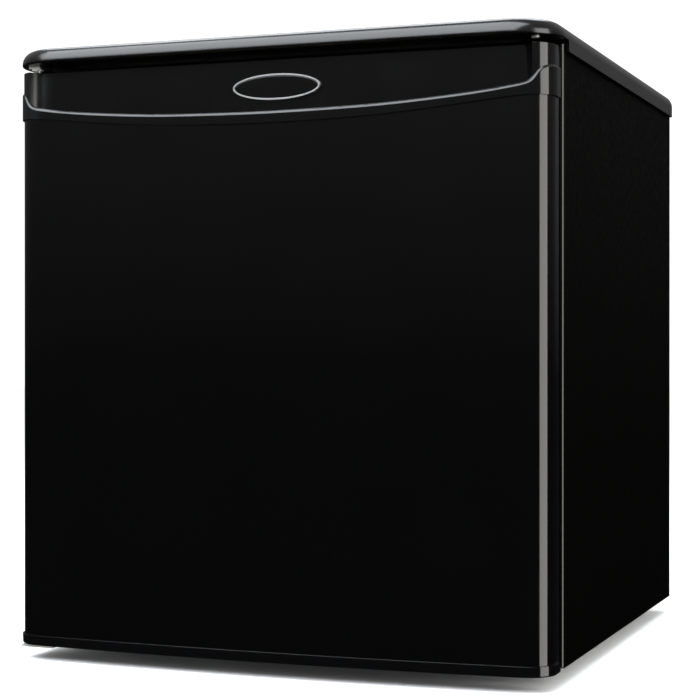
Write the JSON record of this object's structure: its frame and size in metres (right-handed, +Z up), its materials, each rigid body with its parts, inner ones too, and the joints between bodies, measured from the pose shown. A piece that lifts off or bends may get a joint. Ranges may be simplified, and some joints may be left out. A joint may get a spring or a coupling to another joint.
{
  "type": "mini fridge",
  "caption": "Compact black one-door refrigerator with a bowed door, hand pocket, ice compartment, wire shelves, door bins and a rear wire condenser.",
  "frame": {"origin": "on the floor under the centre of the overall box", "axes": "+Z up, -Y out of the door's face, +X to the right seen from the front"},
  "size_m": [0.45, 0.47, 0.49],
  "materials": {
    "side_paint": "satin",
    "front_paint": "satin",
    "zinc_sheet": "satin",
    "white_liner": "satin",
    "foam": "matte",
    "gloss_black": "gloss",
    "door_paint": "satin",
    "seal_rubber": "matte",
    "badge_black": "gloss",
    "badge_silver": "polished",
    "hinge_steel": "satin",
    "screw_steel": "satin",
    "black_plastic": "matte",
    "compressor_black": "gloss",
    "grommet_rubber": "matte",
    "condenser_black": "satin",
    "copper": "satin",
    "aluminium": "satin",
    "grey_plastic": "matte",
    "white_plastic": "satin",
    "clear_plastic": "gloss",
    "shelf_wire": "gloss"
  },
  "bodies": {
    "cabinet": {"side_panel_left": "side_paint", "side_panel_right": "side_paint", "roof_sheet": "zinc_sheet", "front_rail_top": "front_paint", "front_rail_bottom": "front_paint", "base_sheet": "zinc_sheet", "back_panel": "zinc_sheet", "inner_liner": "white_liner", "cabinet_insulation": "foam", "worktop": "gloss_black", "worktop_screws": "screw_steel", "worktop_plug": "screw_steel", "top_hinge_bracket": "hinge_steel", "top_hinge_pin": "hinge_steel", "bottom_hinge_bracket": "hinge_steel", "bottom_hinge_pin": "hinge_steel", "hinge_screws": "screw_steel", "spare_hole_plugs": "black_plastic", "foot_sockets": "black_plastic", "rear_feet": "black_plastic", "wall_spacers": "black_plastic", "compressor_channel": "zinc_sheet", "compressor_grommets": "grommet_rubber", "compressor_bolts": "screw_steel", "compressor_feet": "compressor_black", "compressor_can": "compressor_black", "terminal_cover": "black_plastic", "drain_pan": "grey_plastic", "condenser_tube": "condenser_black", "condenser_wires": "condenser_black", "condenser_clips": "black_plastic", "discharge_tube": "condenser_black", "filter_drier": "copper", "capillary_tube": "copper", "suction_tube": "copper", "evaporator": "aluminium", "evaporator_hangers": "black_plastic", "ice_frame": "white_plastic", "tray_rails": "grey_plastic", "thermostat_housing": "white_plastic", "sensing_tube": "copper"},
    "door": {"door_skin": "door_paint", "door_top_cap": "gloss_black", "door_bottom_cap": "gloss_black", "door_insulation": "foam", "door_liner": "white_liner", "door_seal": "seal_rubber", "badge_plate": "badge_black", "badge_rim": "badge_silver", "door_hinge_bushes": "black_plastic", "door_bin_lower": "clear_plastic", "door_bin_middle": "clear_plastic"},
    "ice_flap": {"ice_flap": "white_plastic"},
    "thermostat_knob": {"thermostat_knob": "white_plastic"},
    "drip_tray": {"drip_tray": "clear_plastic"},
    "upper_shelf": {"upper_shelf": "shelf_wire"},
    "lower_shelf": {"lower_shelf": "shelf_wire"},
    "front_foot_left": {"front_foot_left": "black_plastic"},
    "front_foot_right": {"front_foot_right": "black_plastic"}
  },
  "joints": [
    {"name": "door_hinge", "type": "hinge", "parent": "cabinet", "child": "door", "pos_m": [-0.207, -0.212, 0.24], "axis": [0, 0, -1], "range_deg": [0, 120]},
    {"name": "ice_flap_hinge", "type": "hinge", "parent": "cabinet", "child": "ice_flap", "pos_m": [-0.0375, -0.0713, 0.3383], "axis": [1, 0, 0], "range_deg": [0, 90]},
    {"name": "thermostat_turn", "type": "hinge", "parent": "cabinet", "child": "thermostat_knob", "pos_m": [0.142, -0.0655, 0.4043], "axis": [0, 1, 0], "range_deg": [0, 300]},
    {"name": "drip_tray_slide", "type": "slide", "parent": "cabinet", "child": "drip_tray", "axis": [0, -1, 0], "range_m": [0, 0.085]},
    {"name": "upper_shelf_slide", "type": "slide", "parent": "cabinet", "child": "upper_shelf", "axis": [0, -1, 0], "range_m": [0, 0.06]},
    {"name": "lower_shelf_slide", "type": "slide", "parent": "cabinet", "child": "lower_shelf", "axis": [0, -1, 0], "range_m": [0, 0.06]},
    {"name": "foot_adjust_left", "type": "slide", "parent": "cabinet", "child": "front_foot_left", "axis": [0, 0, -1], "range_m": [0, 0.008]},
    {"name": "foot_adjust_right", "type": "slide", "parent": "cabinet", "child": "front_foot_right", "axis": [0, 0, -1], "range_m": [0, 0.008]}
  ]
}
